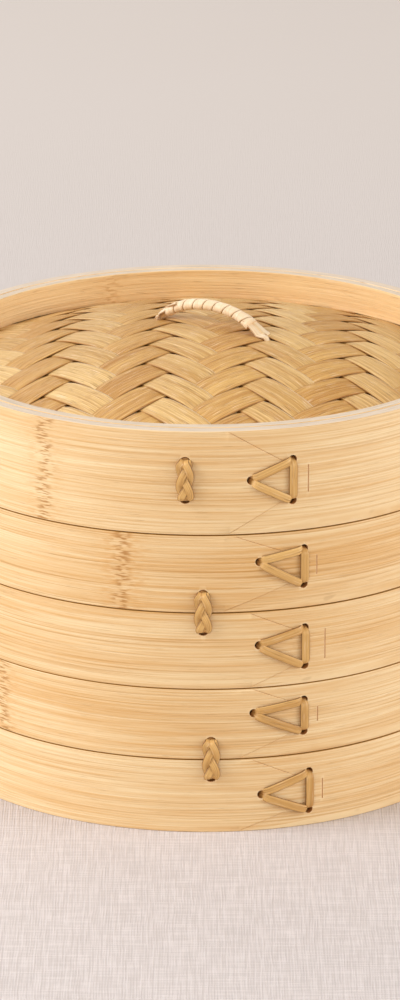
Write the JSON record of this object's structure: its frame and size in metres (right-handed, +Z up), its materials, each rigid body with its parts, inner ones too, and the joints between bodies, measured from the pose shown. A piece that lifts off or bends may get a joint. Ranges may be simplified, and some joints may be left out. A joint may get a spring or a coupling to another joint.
{
  "type": "bamboo steamer basket",
  "caption": "Round bamboo steamer of stacking tiers with slatted floors and a lid with a woven domed cover and a small wrapped arch handle.",
  "frame": {"origin": "centre of the base, on the surface that the steamer stands on", "axes": "+Z up through the middle of the tiers and the lid; -Y is the front, with the lapped and laced ends of the hoops just to its right; +X right"},
  "size_m": [0.208, 0.208, 0.1617],
  "materials": {
    "hoop_bamboo": "bare bent bamboo strip, satin, fine grain along the hoop",
    "inner_bamboo": "bare bamboo, inner side of the culm, satin",
    "slat_bamboo": "planed bamboo slats and sticks, matt",
    "woven_bamboo": "thin split bamboo woven in a twill, satin",
    "rattan": "split rattan lacing and braids, satin",
    "wrapping_cane": "pale rattan cane wound round the handle, satin"
  },
  "bodies": {
    "lower_tier": {"lower_tier_base_hoop": "hoop_bamboo", "lower_tier_rim_hoop": "hoop_bamboo", "lower_tier_inner_hoop": "inner_bamboo", "lower_tier_base_lacing": "rattan", "lower_tier_rim_lacing": "rattan", "lower_tier_tie_1": "rattan", "lower_tier_tie_2": "rattan", "lower_tier_tie_3": "rattan", "lower_tier_tie_4": "rattan", "lower_tier_floor_ring": "inner_bamboo", "lower_tier_rod_1": "slat_bamboo", "lower_tier_rod_2": "slat_bamboo", "lower_tier_slat_1": "slat_bamboo", "lower_tier_slat_2": "slat_bamboo", "lower_tier_slat_3": "slat_bamboo", "lower_tier_slat_4": "slat_bamboo", "lower_tier_slat_5": "slat_bamboo", "lower_tier_slat_6": "slat_bamboo", "lower_tier_slat_7": "slat_bamboo", "lower_tier_slat_8": "slat_bamboo", "lower_tier_slat_9": "slat_bamboo", "lower_tier_slat_10": "slat_bamboo", "lower_tier_slat_11": "slat_bamboo", "lower_tier_slat_12": "slat_bamboo"},
    "upper_tier": {"upper_tier_base_hoop": "hoop_bamboo", "upper_tier_rim_hoop": "hoop_bamboo", "upper_tier_inner_hoop": "inner_bamboo", "upper_tier_base_lacing": "rattan", "upper_tier_rim_lacing": "rattan", "upper_tier_tie_1": "rattan", "upper_tier_tie_2": "rattan", "upper_tier_tie_3": "rattan", "upper_tier_tie_4": "rattan", "upper_tier_floor_ring": "inner_bamboo", "upper_tier_rod_1": "slat_bamboo", "upper_tier_rod_2": "slat_bamboo", "upper_tier_slat_1": "slat_bamboo", "upper_tier_slat_2": "slat_bamboo", "upper_tier_slat_3": "slat_bamboo", "upper_tier_slat_4": "slat_bamboo", "upper_tier_slat_5": "slat_bamboo", "upper_tier_slat_6": "slat_bamboo", "upper_tier_slat_7": "slat_bamboo", "upper_tier_slat_8": "slat_bamboo", "upper_tier_slat_9": "slat_bamboo", "upper_tier_slat_10": "slat_bamboo", "upper_tier_slat_11": "slat_bamboo", "upper_tier_slat_12": "slat_bamboo"},
    "lid": {"lid_outer_hoop": "hoop_bamboo", "lid_clamp_ring": "inner_bamboo", "lid_seat_ring": "inner_bamboo", "lid_woven_cover": "woven_bamboo", "lid_lining": "woven_bamboo", "handle_core": "slat_bamboo", "handle_wrapping": "wrapping_cane", "lid_lacing": "rattan", "lid_tie_1": "rattan", "lid_tie_2": "rattan", "lid_tie_3": "rattan"}
  },
  "joints": [
    {"name": "upper_tier_lift", "type": "slide", "parent": "lower_tier", "child": "upper_tier", "axis": [0, 0, 1], "range_m": [0, 0.12]},
    {"name": "lid_lift", "type": "slide", "parent": "upper_tier", "child": "lid", "axis": [0, 0, 1], "range_m": [0, 0.12]}
  ]
}
